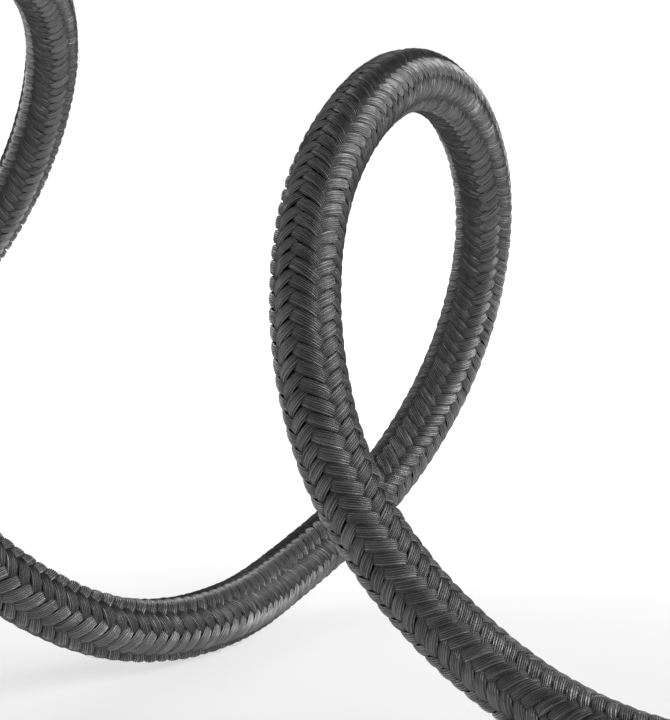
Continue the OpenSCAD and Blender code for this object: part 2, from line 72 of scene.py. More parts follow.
# Metres, as are all sizes of the cable. The route is in millimetres until it is divided.
wire_radius = 0.0005
cable_radius = 0.0025
table_gap = 0.00001
stations = 1984
held_stations = 12
route = np.array([
    [-40, 0, 10], [-55, -1, 8], [-73, -5.5, 4.5], [-90.5, -6.5, 2.5],
    [-99.5, -3, 2.5], [-109, 4.5, 4], [-116.5, 9.5, 9], [-123, 12, 18], [-125.5, 15, 28],
    [-124.5, 21.5, 37.5], [-121, 30, 43], [-117, 40.5, 44.5], [-113.5, 49.5, 42],
    [-111, 57.5, 35], [-111.5, 62, 25.5], [-115, 62.5, 16], [-121.5, 58.5, 7.5],
    [-127.5, 51, 3.5], [-132.5, 39.5, 2.5], [-139.5, 30.5, 3.5], [-148, 24.5, 9],
    [-154.5, 22.5, 16.5], [-159.5, 23.5, 27.5], [-161.5, 29.5, 39], [-160.5, 39.5, 48],
    [-156.5, 49.5, 53.5], [-151.5, 61, 54.5], [-149.5, 72.5, 50.5], [-151, 83, 42.5],
    [-156, 91, 32], [-163.5, 95.5, 22], [-173.5, 95, 12], [-184.5, 89.5, 5.5],
    [-196, 80.5, 2.5], [-209, 66, 2.5], [-222, 48.5, 2.5], [-232, 30.5, 3], [-236, 11.5, 4],
]) / 1000


def unit(v):
    """v over its own length, row by row."""
    return v / np.linalg.norm(v, axis=-1, keepdims=True)


def smooth_line(points, first, last, count):
    """count points, evenly spaced by length, on the cubic line through the given points. Its
    slope at each inner point is the one that keeps the bending even on both sides, and first and
    last are its directions at the ends."""
    n = len(points)
    gap = np.linalg.norm(np.diff(points, axis=0), axis=1)
    slope = np.diff(points, axis=0) / gap[:, None]
    system = np.eye(n)
    inner = np.arange(1, n - 1)
    system[inner, inner - 1] = 1 / gap[:-1]
    system[inner, inner] = 2 / gap[:-1] + 2 / gap[1:]
    system[inner, inner + 1] = 1 / gap[1:]
    pull = np.vstack([first, 3 * (slope[:-1] / gap[:-1, None] + slope[1:] / gap[1:, None]), last])
    bend = np.linalg.solve(system, pull)
    knots = np.concatenate([[0], np.cumsum(gap)])
    u = np.linspace(0, knots[-1], 12000)
    k = np.clip(np.searchsorted(knots, u) - 1, 0, n - 2)
    h = gap[k][:, None]
    t = ((u - knots[k]) / gap[k])[:, None]
    line = (
        (2 * t**3 - 3 * t**2 + 1) * points[k] + (t**3 - 2 * t**2 + t) * h * bend[k]
        + (3 * t**2 - 2 * t**3) * points[k + 1] + (t**3 - t**2) * h * bend[k + 1]
    )
    run = np.concatenate([[0], np.cumsum(np.linalg.norm(np.diff(line, axis=0), axis=1))])
    even = np.linspace(0, run[-1], count)
    return np.stack([np.interp(even, run, line[:, i]) for i in range(3)], axis=1), run[-1]


def steady_sides(line, reference):
    """Two directions across the line at each of its points, square to it and to each other, that
    don't spin round it: a fixed direction is laid square to the line, and the small turn that
    this adds from point to point is summed and taken back."""
    ahead = unit(np.gradient(line, axis=0))
    a = unit(reference - (ahead @ reference)[:, None] * ahead)
    b = np.cross(ahead, a)
    carried = a[:-1] - np.sum(a[:-1] * ahead[1:], axis=1)[:, None] * ahead[1:]
    turn = np.arctan2(np.sum(carried * b[1:], axis=1), np.sum(carried * a[1:], axis=1))
    spin = np.concatenate([[0], np.cumsum(turn)])[:, None]
    return np.cos(spin) * a + np.sin(spin) * b, np.cos(spin) * b - np.sin(spin) * a


def surface(name, grid, uv, loop=False, wear_and_shade=None, creases=()):
    """A closed mesh of quads through a grid of points [ring, place round it], or several such
    skins [skin, ring, place]. The last ring joins the first where loop is set, and otherwise both
    get a flat face. Faces point outwards where rings follow a line and places turn from its side
    a to its side b. uv holds one ring more on a loop, and always one place more, where it comes
    round. wear_and_shade is kept as a number per point, for the wear and darkened corners of
    turned pieces and the painted shade of the yarns. Lines along the places in creases stay sharp."""
    grid, uv = grid.reshape(-1, *grid.shape[-3:]), uv.reshape(-1, *uv.shape[-3:])
    skins, rings, around = grid.shape[:3]
    last = rings if loop else rings - 1
    skin, i, j = np.meshgrid(np.arange(skins), np.arange(last), np.arange(around), indexing="ij")
    here, ahead = skin * rings + i, skin * rings + (i + 1) % rings
    after = (j + 1) % around
    quads = np.stack([here * around + after, ahead * around + after, ahead * around + j,
                      here * around + j], axis=-1).reshape(-1, 4)
    corners = [np.stack([uv[skin, i, j + 1], uv[skin, i + 1, j + 1], uv[skin, i + 1, j],
                         uv[skin, i, j]], axis=3)]
    flat = np.zeros(0, int)
    if not loop:
        ring = np.arange(around)
        flat = np.stack([ring[::-1], (rings - 1) * around + ring])
        flat = (flat + np.arange(skins)[:, None, None] * rings * around).ravel()
        corners += [np.stack([uv[:, 0, :-1][:, ::-1], uv[:, -1, :-1]], axis=1)]
    mesh = bpy.data.meshes.new(name)
    mesh.vertices.add(skins * rings * around)
    mesh.vertices.foreach_set("co", grid.astype(np.float32).ravel())
    mesh.loops.add(quads.size + flat.size)
    mesh.loops.foreach_set("vertex_index", np.concatenate([quads.ravel(), flat]).astype(np.int32))
    starts = np.concatenate([
        np.arange(len(quads)) * 4, quads.size + np.arange(0, flat.size, around),
    ])
    mesh.polygons.add(len(starts))
    mesh.polygons.foreach_set("loop_start", starts.astype(np.int32))
    mesh.polygons.foreach_set("use_smooth", np.ones(len(starts), bool))
    layer = mesh.uv_layers.new(name="along")
    layer.data.foreach_set("uv", np.concatenate([c.ravel() for c in corners]).astype(np.float32))
    if wear_and_shade is not None:
        kept = mesh.attributes.new("wear_and_shade", "FLOAT", "POINT")
        kept.data.foreach_set("value", wear_and_shade.astype(np.float32).ravel())
    mesh.update(calc_edges=True)
    if len(creases):
        ends = np.empty(2 * len(mesh.edges), np.int32)
        mesh.edges.foreach_get("vertices", ends)
        spot = ends.reshape(-1, 2) % around
        sharp = mesh.attributes.new("sharp_edge", "BOOLEAN", "EDGE")
        sharp.data.foreach_set("value", (spot[:, 0] == spot[:, 1]) & np.isin(spot[:, 0], creases))
    piece = bpy.data.objects.new(name, mesh)
    bpy.context.scene.collection.objects.link(piece)
    return piece


def swept(name, line, a, b, section):
    """A section of points [place, 2] carried along the line, with its two coordinates along the
    sides a and b. Its uv is millimetres round the section and along the line."""
    grid = line[:, None] + section[:, 0, None] * a[:, None] + section[:, 1, None] * b[:, None]
    around = np.append(section, section[:1], axis=0)
    u = 1000 * np.append(0, np.cumsum(np.linalg.norm(np.diff(around, axis=0), axis=1)))
    v = 1000 * np.append(0, np.cumsum(np.linalg.norm(np.diff(line, axis=0), axis=1)))
    return surface(name, grid, np.stack(np.meshgrid(u, v), axis=-1))


def circle(radius, count):
    """Points round a circle of that radius."""
    turn = np.linspace(0, 2 * np.pi, count, endpoint=False)
    return radius * np.stack([np.cos(turn), np.sin(turn)], axis=1)


def add(tree, kind, inputs, **settings):
    """A new shader node of that kind. Each input gets a value, or the socket that feeds it."""
    made = tree.nodes.new("ShaderNode" + kind)
    for key, value in settings.items():
        setattr(made, key, value)
    for key, value in inputs.items():
        if isinstance(value, bpy.types.NodeSocket):
            tree.links.new(value, made.inputs[key])
        else:
            made.inputs[key].default_value = value
    return made


def ramp(tree, factor, *stops):
    """A colour ramp's colour at the factor, through stops of (position, colour)."""
    made = add(tree, "ValToRGB", {"Fac": factor})
    elements = made.color_ramp.elements
    while len(elements) < len(stops):
        elements.new(0.5)
    for element, (position, colour) in zip(elements, stops):
        element.position = position
        element.color = (*colour, 1)
    return made.outputs["Color"]


def mixed(tree, factor, a, b):
    """The colour between a and b at the factor."""
    made = add(tree, "Mix", {0: factor, 6: a, 7: b}, data_type="RGBA")
    return made.outputs[2]


def noise(tree, place, scale, detail, roughness=0.5, distortion=0):
    """Soft noise of that scale over the place."""
    made = add(tree, "TexNoise", {"Vector": place, "Scale": scale, "Detail": detail,
                                  "Roughness": roughness, "Distortion": distortion})
    return made.outputs["Fac"]


def scaled(tree, value, factor, base):
    """value times factor, plus base."""
    made = add(tree, "Math", {0: value, 1: factor, 2: base}, operation="MULTIPLY_ADD")
    return made.outputs["Value"]


def ranged(tree, value, start, end, low=0, high=1, form="LINEAR"):
    """low where value is at start, high where it is at end, and in between by the form."""
    made = add(tree, "MapRange", {"Value": value, "From Min": start, "From Max": end,
                                  "To Min": low, "To Max": high}, interpolation_type=form)
    return made.outputs["Result"]


def emboss(tree, shader, height, distance, strength=1):
    """Gives the shader a fine relief: at height 1 it is raised by the distance."""
    relief = add(tree, "Bump", {"Height": height, "Strength": strength, "Distance": distance})
    tree.links.new(relief.outputs["Normal"], shader.inputs["Normal"])


def new_material(name):
    """A new material, its node tree and its shader."""
    material = bpy.data.materials.new(name)
    material.use_nodes = True
    return material, material.node_tree, material.node_tree.nodes["Principled BSDF"]


def metal(name, colour, bright, rough_low, rough_high, marks=0.000003, drawn_along=None):
    """A turned metal. Fine tool lines run round it, from a noise drawn long round the piece and
    short along it, and soft stains change its gloss. Outside edges are rubbed bright, and inside
    corners and grooves are made darker, down to 0.18 of the colour, by the wear_and_shade number,
    which is 1 on an edge and below 0 in a corner. drawn_along is the axis, 0 to 2, of a piece that
    has no uv of its own."""
    material, tree, shader = new_material(name)
    shader.inputs["Metallic"].default_value = 1
    place = add(tree, "TexCoord", {})
    if drawn_along is None:
        across = add(tree, "UVMap", {}, uv_map="along").outputs["UV"]
        stretch = (0.12, 16, 1)
    else:
        across = place.outputs["Object"]
        stretch = [16000 if axis == drawn_along else 120 for axis in range(3)]
    drawn = add(tree, "Mapping", {"Vector": across, "Scale": stretch})
    lines = noise(tree, drawn.outputs["Vector"], 1, 4)
    stains = noise(tree, place.outputs["Object"], 210, 5, 0.65)
    rubbed = add(tree, "Attribute", {}, attribute_name="wear_and_shade")
    patchy = add(tree, "Math", {0: stains, 1: rubbed.outputs["Fac"]}, operation="ADD")
    edge = ranged(tree, patchy.outputs["Value"], 0.85, 1.35)
    # Inside corners and grooves are made darker, down to 0.18 of the colour.
    corner_dark = ranged(tree, patchy.outputs["Value"], 0.42, -0.2)
    stained, corner_colour = [0.82 * c for c in colour], [0.18 * c for c in colour]
    toned = ramp(tree, stains, (0.3, stained), (0.7, colour))
    lit = mixed(tree, edge, toned, (*bright, 1))
    tree.links.new(mixed(tree, corner_dark, lit, (*corner_colour, 1)), shader.inputs["Base Color"])
    gloss = ranged(tree, stains, 0.3, 0.7, rough_low, rough_high)
    tree.links.new(scaled(tree, lines, 0.16, gloss), shader.inputs["Roughness"])
    emboss(tree, shader, lines, marks)
    return material


def dress(finish, *names):
    """Gives pieces that the frame carries over their finish."""
    for name in names:
        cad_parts[name].data.materials.clear()
        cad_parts[name].data.materials.append(finish)


free_line, free_length = smooth_line(route, (-1, 0, 0), (0, -1, 0), stations)
free_line[:, 2] = np.maximum(free_line[:, 2], cable_radius + table_gap)
step = free_length / (stations - 1)
inside = np.arange(held_stations, 0, -1)[:, None] * step
cable_line = np.vstack([
    free_line[:1] + inside * [1, 0, 0], free_line, free_line[-1:] + inside[::-1] * [0, -1, 0],
])
side_a, side_b = steady_sides(cable_line, unit(np.array([0.47, -0.84, 0.26])))
along = np.arange(len(cable_line)) * step

steel = ((0.60, 0.60, 0.61), (0.80, 0.80, 0.80), 0.22, 0.34)
drawn_steel = metal("drawn_steel", *steel)
dress(metal("drawn_steel_grip", *steel, drawn_along=0), "core_wire_grip_end", "grip_ferrule")
dress(metal("drawn_steel_end", *steel, drawn_along=1), "core_wire_pin_end", "end_tube")
every = slice(None, None, 8)
core = swept("cable_core_wire", cable_line[every], side_a[every], side_b[every],
             circle(wire_radius, 10))
core.data.materials.append(drawn_steel)


# ------------------------------------------------------- the spiral conduit
# Flat steel wire is wound tight into a tube round the core wire. It takes the counterthrust, and
# it makes the cable stiff. A real one ends against the end walls of the two ferrules. Here the
# whole cable stops 3 mm inside each boot, out of sight and short of the ferrules.
conduit_radius = 0.00180
conduit_bore = 0.00070
coil_pitch = 0.0012
coil_depth = 0.00014

every = slice(None, None, 6)
turn = np.linspace(0, 2 * np.pi, 12, endpoint=False)
bulge = np.abs(np.sin(np.pi * along[:, None] / coil_pitch - turn / 2))
outer = conduit_radius - coil_depth * (1 - bulge)
bore = np.full((len(cable_line[every]), len(turn)), conduit_bore)


def round_line(line, a, b, radius):
    """Points round the line at radius [station, place], from its side a to its side b."""
    turn = np.linspace(0, 2 * np.pi, radius.shape[1], endpoint=False)[None, :, None]
    out = np.cos(turn) * a[:, None] + np.sin(turn) * b[:, None]
    return line[:, None] + radius[..., None] * out


walls = np.vstack([
    round_line(cable_line, side_a, side_b, outer),
    round_line(cable_line[every], side_a[every], side_b[every], bore)[::-1],
])
u = 1000 * conduit_radius * np.linspace(0, 2 * np.pi, len(turn) + 1)
v = 1000 * np.concatenate([along, along[every][::-1], along[:1]])
conduit = surface("cable_spiral_conduit", walls, np.stack(np.meshgrid(u, v), axis=-1), loop=True)
conduit.data.materials.append(
    metal("wound_steel", (0.46, 0.46, 0.47), (0.62, 0.62, 0.62), 0.30, 0.45)
)


# ------------------------------------------------------------ the painted shade sheet
# Under the yarns lies a thin sheet with a fine weave, dark and matt, drawn over the conduit.
# Its near-black colour is painted shade: it shows only as the dark in the gaps of the braid.
gap_shade_radius = 0.00192

every = slice(None, None, 5)
gap_shade_sheet = swept("cable_gap_shade_sheet", cable_line[every], side_a[every], side_b[every],
              circle(gap_shade_radius, 24))
gap_shade_cloth, tree, shader = new_material("gap_shade_cloth")
shader.inputs["Roughness"].default_value = 0.9
place = add(tree, "TexCoord", {})
weave = noise(tree, place.outputs["Object"], 3000, 2)
# Painted shade: the sheet's near-black colour stands for the shade in the braid's gaps.
tree.links.new(
    ramp(tree, weave, (0.3, (0.003, 0.003, 0.0035)), (0.7, (0.010, 0.010, 0.011))),
    shader.inputs["Base Color"],
)
emboss(tree, shader, weave, 0.00003)
gap_shade_sheet.data.materials.append(gap_shade_cloth)

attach(gap_shade_sheet, "grip")
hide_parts("braided_cover")
for piece, node in ((conduit, "spiral_conduit"), (core, "core_wire")):
    piece.parent = gap_shade_sheet
    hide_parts(node)


# ------------------------------------------------------- the braid of yarns
# Sixteen flat yarns of fine satin filament, eight each way round, are braided over the liner on
# a machine, each over two and under two. The crossings line up, so columns of slanted floats run
# along the cable. Yarns that lie opposite make one piece.
lay = 0.0090
yarn_width = 0.00094
yarn_height = 0.00036
yarn_middle = 0.00212
yarn_swing = 0.00019
tip_share = 0.88
floats_turn = math.radians(30)
float_steepness = 1.2
left_over = 0.12
strands = 6
strand_cut = 0.40
arch_round = 0.95
base_depth = 0.9
turn_play, reach_play, width_play, lean_play = 0.034, 0.000022, 0.10, 0.05

yarn_satin, tree, shader = new_material("yarn_satin")
shader.inputs["Anisotropic"].default_value = 0.85
shader.inputs["Specular IOR Level"].default_value = 0.95
shader.inputs["IOR"].default_value = 1.68
place = add(tree, "UVMap", {}, uv_map="along")
grain = add(tree, "Tangent", {}, direction_type="UV_MAP", uv_map="along")
tree.links.new(grain.outputs["Tangent"], shader.inputs["Tangent"])
stretch = add(tree, "Mapping", {"Vector": place.outputs["UV"], "Scale": (1.1, 0.4, 1)})
streaks = noise(tree, stretch.outputs["Vector"], 1, 4, 0.6)
parts = add(tree, "SeparateXYZ", {"Vector": place.outputs["UV"]})
strayed = scaled(tree, streaks, 0.7, parts.outputs["X"])
phase = add(tree, "Math", {0: strayed, 1: 2 * math.pi}, operation="MULTIPLY")
strand = add(tree, "Math", {0: phase.outputs["Value"]}, operation="COSINE")
depth = scaled(tree, strand.outputs["Value"], 0.35, streaks)
faded = add(tree, "Mapping", {"Vector": place.outputs["UV"], "Scale": (0.13, 0.35, 1)})
patches = noise(tree, faded.outputs["Vector"], 1, 1)
# Painted shade and light: the base colour is darker where a point lies low under the crossings and
# in the grooves between filaments, and lighter on the raised floats. The patches and streaks add
# random tone.
patches_and_groove_shade = add(tree, "Math", {0: scaled(tree, patches, 0.9, depth), 1: 0.45}, operation="SUBTRACT")
raised = add(tree, "Attribute", {}, attribute_name="wear_and_shade")
tone = scaled(tree, raised.outputs["Fac"], 0.5, patches_and_groove_shade.outputs["Value"])
tree.links.new(
    ramp(tree, tone, (0.76, (0.001, 0.001, 0.001)), (1.10, (0.135, 0.135, 0.137))),
    shader.inputs["Base Color"],
)
tree.links.new(ranged(tree, tone, 0.60, 1.10, 0.80, 0.29), shader.inputs["Roughness"])
emboss(tree, shader, depth, 0.00007)


def wander(rng, run, lengths):
    """A smooth uneven value from -1 to 1 along the run: the mean of sine waves of the given
    lengths, each at its own random phase."""
    phase = rng.uniform(0, 2 * np.pi, len(lengths))
    return np.sin(2 * np.pi * run[:, None] / np.array(lengths) + phase).mean(axis=1)


def yarn(way, number):
    """One yarn of the braid, as its points and uv. It winds round the cable's line once per lay,
    way being its sense, and its distance from the line swings in and out four times a turn, by a
    steepened sine, so that it is over two crossings and under two, a little longer over where it
    goes left. Its section is a flat arch of strands with creases cut between them, narrower where
    it passes from over to under. Its turn, reach, width and lean wander a little. The third
    result is how far out each point lies, from about -1 under the crossings to 1 on the floats."""
    rng = np.random.default_rng(1000 * number + 17 * way + 50)
    angle = way * 2 * np.pi * along / lay + number * np.pi / 4 + floats_turn
    angle = angle + turn_play * wander(rng, along, (0.0061, 0.0143, 0.037))
    beat = way * np.sin(4 * (angle - floats_turn - np.pi / 16)) - left_over * way
    reach = yarn_middle + yarn_swing * np.tanh(float_steepness * beat) / np.tanh(float_steepness)
    reach = reach + reach_play * wander(rng, along, (0.0023, 0.0071, 0.019))
    out = np.cos(angle)[:, None] * side_a + np.sin(angle)[:, None] * side_b
    middle = cable_line + reach[:, None] * out
    heading = unit(np.gradient(middle, axis=0))
    width = unit(np.cross(heading, out))
    up = np.cross(width, heading)
    ridge = np.arange(2 * strands + 1)
    top = 1 - (ridge + 0.35 * rng.uniform(-1, 1, len(ridge)) * (ridge % 2)) / strands
    arch = np.sqrt(1 - arch_round * top**2) - strand_cut * (ridge % 2 == 0)
    across = np.concatenate([top, [-0.5, 0.5]])
    height = np.concatenate([arch, [-base_depth, -base_depth]])
    swell = np.clip(np.abs(beat), 0, 1) ** 0.8 * np.where(beat > 0, 1, 0.9)
    half = yarn_width / 2 * (tip_share + (1 - tip_share) * swell)
    half = half * (1 + width_play * wander(rng, along, (0.0031, 0.0083, 0.021)))
    lean = lean_play * wander(rng, along, (0.0019, 0.0057, 0.013))
    offset = yarn_height / 2 * height[None, :] + 0 * half[:, None]
    points = (
        middle[:, None]
        + (half[:, None] * (across + lean[:, None] * (1 - across**2)))[..., None] * width[:, None]
        + offset[..., None] * up[:, None]
    )
    # How far out each point lies. The satin paints shade by it: darker under the crossings, lighter
    # on the floats.
    raised = (reach[:, None] + offset - yarn_middle) / (yarn_swing + yarn_height / 2)
    u = np.append(ridge / 2 - 0.5, strands + np.array([2, 5, 7]) - 0.5) + 20 * number
    v = 1000 * np.concatenate([[0], np.cumsum(np.linalg.norm(np.diff(middle, axis=0), axis=1))])
    return points, np.stack(np.meshgrid(u, v + 40 * number), axis=-1), raised


yarns = []
for sense, way in (("right", 1), ("left", -1)):
    for number in range(4):
        points, uv, raised = zip(yarn(way, number), yarn(way, number + 4))
        pair = surface(f"yarn_pair_{sense}_{number + 1}", np.stack(points), np.stack(uv),
                       wear_and_shade=np.stack(raised), creases=range(0, 2 * strands + 1, 2))
        pair.data.materials.append(yarn_satin)
        yarns.append(pair)

# Broken filaments stand off the yarns: short three-sided threads that follow the yarns' slant, or
# its mirror, and rise from the cover by part of a sine wave.
hairs = 320
hair_points = 8
hair_radius = 0.000011
cover_reach = 0.00240
hairy_length = 0.492
slant_ahead, slant_round = 0.53, 0.85

rng = np.random.default_rng(7)
start = rng.uniform(0, hairy_length, (hairs, 1))
turn = rng.uniform(0, 2 * np.pi, (hairs, 1))
sense = rng.choice([-1, 1], (hairs, 1))
length = rng.uniform(0.0008, 0.0026, (hairs, 1))
lift = rng.uniform(0.00005, 0.00028, (hairs, 1))
share = np.linspace(0, 1, hair_points)[None, :]
run = start + slant_ahead * length * share
at = np.interp(run, along - along[held_stations], np.arange(len(along)))
low, part = at.astype(int), (at % 1)[..., None]
center, a, b = (
    values[low] * (1 - part) + values[low + 1] * part for values in (cable_line, side_a, side_b)
)
curl = rng.uniform(-0.1, 0.1, (hairs, 1)) * share**2
angle = turn + sense * (slant_round * length * share / cover_reach + curl)
reach = (cover_reach + lift * np.sin(rng.uniform(2.2, 3.4, (hairs, 1)) * share))[..., None]
bend = center + reach * (np.cos(angle)[..., None] * a + np.sin(angle)[..., None] * b)
heading = unit(np.gradient(bend, axis=1))
across = unit(np.cross(heading, bend - center))
up = np.cross(heading, across)
ring = np.stack([bend + hair_radius * (np.cos(t) * across + np.sin(t) * up)
                 for t in (0, 2 * np.pi / 3, 4 * np.pi / 3)], axis=2)
u = np.array([0.4, 0.5, 0.6, 0.7])
v = (1000 * length * share)[..., None]
uv = np.stack(np.broadcast_arrays(u, v), axis=-1)
strays = surface("stray_filaments", ring, uv, wear_and_shade=np.ones(ring.shape[:3]))
strays.data.materials.append(yarn_satin)
yarns.append(strays)
for piece in yarns:
    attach(piece, "grip")


# -------------------------------------------------------- the end's ferrule
# A nickel-plated brass tube is crimped over the cable's camera end in two rolled rings, and the
# end tube is pressed into it.

# Millimetres, as in all the turned pieces from here on.
ferrule_bore = 2.525
tube_radius = 1.9
tube_seat = 1.825
crimp_half = 0.55
crimp_depth = 0.16


def eased(corners, loop):
    """A section's corners, each [place, radius, ease], every one rounded off by a parabola that
    starts ease before it and ends ease after it. Gives rows of [place, radius, wear_and_shade],
    where that number rises to 1 in the middle of a square outside corner and falls to -1 in an
    inside one."""
    corners = np.array(corners, float)
    here, ease = corners[:, :2], corners[:, 2:]
    back, on = np.roll(here, 1, axis=0) - here, np.roll(here, -1, axis=0) - here
    reach = 0.45 * np.minimum(np.linalg.norm(back, axis=1), np.linalg.norm(on, axis=1))[:, None]
    reach = np.minimum(ease, reach)
    if not loop:
        reach[[0, -1]] = 0
    back, on = unit(back), unit(on)
    t = np.linspace(0, 1, 5)[None, :, None]
    curve = here[:, None] + reach[:, None] * ((1 - t) ** 2 * back[:, None] + t**2 * on[:, None])
    bend = back[:, 0] * on[:, 1] - back[:, 1] * on[:, 0]
    wear_and_shade = bend[:, None] * (4 * t * (1 - t))[..., 0]
    rows = np.dstack([curve, wear_and_shade]).reshape(-1, 3)
    apart = np.linalg.norm(np.diff(rows[:, :2], axis=0, prepend=rows[:1, :2] - 1), axis=1)
    return rows[apart > 1e-5]


def turned(name, corners, axis, around=96, fine=0.4, loop=True, relief=None):
    """A turned piece in millimetres. Its section is eased, given points no further apart than
    fine, and carried round the axis, which is (origin, direction, side). The section runs
    forward along the outside and, on a hollow piece, back along the bore. relief gives each
    point's change of radius and of its wear_and_shade number from its place, radius and angle."""
    section = eased(corners, loop)
    if loop:
        section = np.vstack([section, section[:1]])
    run = np.append(0, np.cumsum(np.linalg.norm(np.diff(section[:, :2], axis=0), axis=1)))
    parts = np.ceil(np.diff(run) / fine).astype(int)
    finer = np.concatenate([
        np.linspace(a, b, n, endpoint=False) for a, b, n in zip(run[:-1], run[1:], parts)
    ])
    if not loop:
        finer = np.append(finer, run[-1])
    place, radius, wear_and_shade = (np.interp(finer, run, section[:, i])[:, None] for i in range(3))
    angle = np.linspace(0, 2 * np.pi, around, endpoint=False)[None, :]
    deep, rubbed = relief(place, radius, angle) if relief else (0, 0)
    radius = radius + deep + 0 * angle
    origin, ahead, side = (np.array(part, float) for part in axis)
    other = np.cross(ahead, side)
    grid = 1000 * origin + place[..., None] * ahead + radius[..., None] * (
        np.cos(angle)[..., None] * side + np.sin(angle)[..., None] * other
    )
    v = np.append(finer, run[-1]) if loop else finer
    u = np.linspace(0, 2 * np.pi, around + 1) * section[:, 1].max()
    uv = np.stack(np.meshgrid(u, v), axis=-1)
    return surface(name, grid / 1000, uv, loop, wear_and_shade + rubbed + 0 * angle)


def between(value, start, end, fade):
    """1 between start and end and 0 outside, fading over the given width inside each."""
    return np.clip((value - start) / fade, 0, 1) * np.clip((end - value) / fade, 0, 1)


low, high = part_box("end_ferrule")
tip_axis = (((low.x + high.x) / 2, 0, (low.z + high.z) / 2), (0, -1, 0), (1, 0, 0))
start, end, radius = -1000 * high.y, -1000 * low.y, 500 * (high.x - low.x)
seat = end - 5
mouth = start + 10
crimped_at = (mouth + 1.6, mouth + 3.4)


def crimps(place, radius, angle):
    """Two rolled rings, each a cosine dip in the outside."""
    rings = sum(between(place, at - crimp_half, at + crimp_half, 0.5) for at in crimped_at)
    dip = (radius > ferrule_bore + 0.2) * 0.5 * (1 - np.cos(np.pi * np.clip(rings, 0, 1)))
    return -crimp_depth * dip + 0 * angle, -0.25 * dip


plated_brass = metal("plated_brass", (0.70, 0.67, 0.61), (0.88, 0.82, 0.68), 0.20, 0.36)
end_ferrule = turned("end_ferrule_tube", [
    [start, ferrule_bore, 0.1], [start, radius, 0.15], [end, radius, 0.5],
    [end, tube_radius, 0.1], [seat, tube_radius, 0.05], [seat, tube_seat, 0.05],
    [seat - 3, tube_seat, 0.05], [seat - 3, ferrule_bore, 0.05],
], tip_axis, fine=0.12, relief=crimps)
end_ferrule.data.materials.append(plated_brass)
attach(end_ferrule, "grip")
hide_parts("end_ferrule")


# ---------------------------------------------------------- the rubber boots
# Each end has a bend relief of moulded black rubber, pushed over its ferrule. Four ribs let it
# flex, and a fine seam of the mould runs along both sides.
mouth_radius = 2.55
mouth_wall = 0.75
ferrule_radius = 3.05
boot_grip = 10
ribs = 4
rib_cut = 0.45
rib_gap = 0.4
rib_slope = 0.08
seam_height = 0.05

moulded_rubber, tree, shader = new_material("moulded_rubber")
place = add(tree, "TexCoord", {})
dust = noise(tree, place.outputs["Object"], 420, 6, 0.7)
grain = noise(tree, place.outputs["Object"], 5200, 2)
rubbed = add(tree, "Attribute", {}, attribute_name="wear_and_shade")
patchy = scaled(tree, rubbed.outputs["Fac"], 0.28, dust)
tree.links.new(
    ramp(tree, patchy, (0.30, (0.008, 0.008, 0.008)),
         (0.62, (0.017, 0.017, 0.017)), (0.85, (0.045, 0.045, 0.043))),
    shader.inputs["Base Color"],
)
tree.links.new(ranged(tree, dust, 0.3, 0.7, 0.55, 0.80), shader.inputs["Roughness"])
emboss(tree, shader, grain, 0.00002, 0.5)


def mould_seam(place, radius, angle):
    """A low ridge along both sides of the outside, from a narrow bell of the angle."""
    ridge = (radius > ferrule_radius + 0.05) * np.exp(-((np.sin(angle) / 0.035) ** 2))
    return seam_height * ridge, 0.5 * ridge


def boot(name, node, axis, start, end, base_radius):
    """A bend relief from its mouth at start to its base at end: it widens evenly, ribs are left
    between rings cut into it, and its base is bored out for the ferrule."""
    length = end - start
    pitch = length / (ribs + 3)
    slope = (base_radius - mouth_radius - mouth_wall) / length
    gap = rib_gap * pitch
    line = [[start, mouth_radius, 0.1], [start, mouth_radius + mouth_wall, 0.3]]
    for rib in range(ribs):
        at = (0.8 + rib) * pitch
        radius = mouth_radius + mouth_wall + slope * at
        line += [
            [start + at, radius, 0.14], [start + at + rib_slope, radius - rib_cut, 0.14],
            [start + at + gap, radius - rib_cut, 0.14],
            [start + at + gap + rib_slope, radius + gap * slope, 0.14],
        ]
    line += [
        [end - 1.2, base_radius, 0.4], [end, base_radius, 0.35], [end, ferrule_radius, 0.1],
        [end - boot_grip, ferrule_radius, 0.05], [end - boot_grip, mouth_radius, 0.05],
    ]
    piece = turned(name, line, axis, around=144, fine=0.3, relief=mould_seam)
    piece.data.materials.append(moulded_rubber)
    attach(piece, "grip")
    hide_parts(node)
    return piece


low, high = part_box("end_boot")
end_boot = boot("end_boot_moulding", "end_boot", tip_axis, -1000 * high.y, -1000 * low.y,
                500 * (high.x - low.x))
low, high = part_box("grip_boot")
grip_axis = ((0, 0, (low.z + high.z) / 2), (1, 0, 0), (0, 1, 0))
boot("grip_boot_moulding", "grip_boot", grip_axis, 1000 * low.x, 1000 * high.x,
     500 * (high.y - low.y))


# ------------------------------------------------------ the knurled swivel
# A turned, straight-knurled and plated collar turns freely on the end tube's flange, so that the
# thread can be screwed in while the cable stays still.
swivel_ridges = 26
swivel_knurl = 0.25
flange_seat = 3.05
running_fit = 0.06
ring_cut = 0.12

low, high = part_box("swivel_collar")
start, end, radius = -1000 * high.y, -1000 * low.y, 500 * (high.x - low.x)
step_at = end - 6.1


def straight_knurl(first, last, radius, ridges, deep):
    """A relief of straight grooves round the outside, from a flattened cosine of the angle, that
    run out softly at both ends. The crests between them are rubbed."""
    def cut(place, own_radius, angle):
        zone = between(place, first, last, 0.35) * (own_radius > radius - 0.3)
        groove = zone * (0.5 + 0.5 * np.cos(ridges * angle)) ** 0.8
        return -deep * groove, 0.75 * zone - 1.5 * groove
    return cut


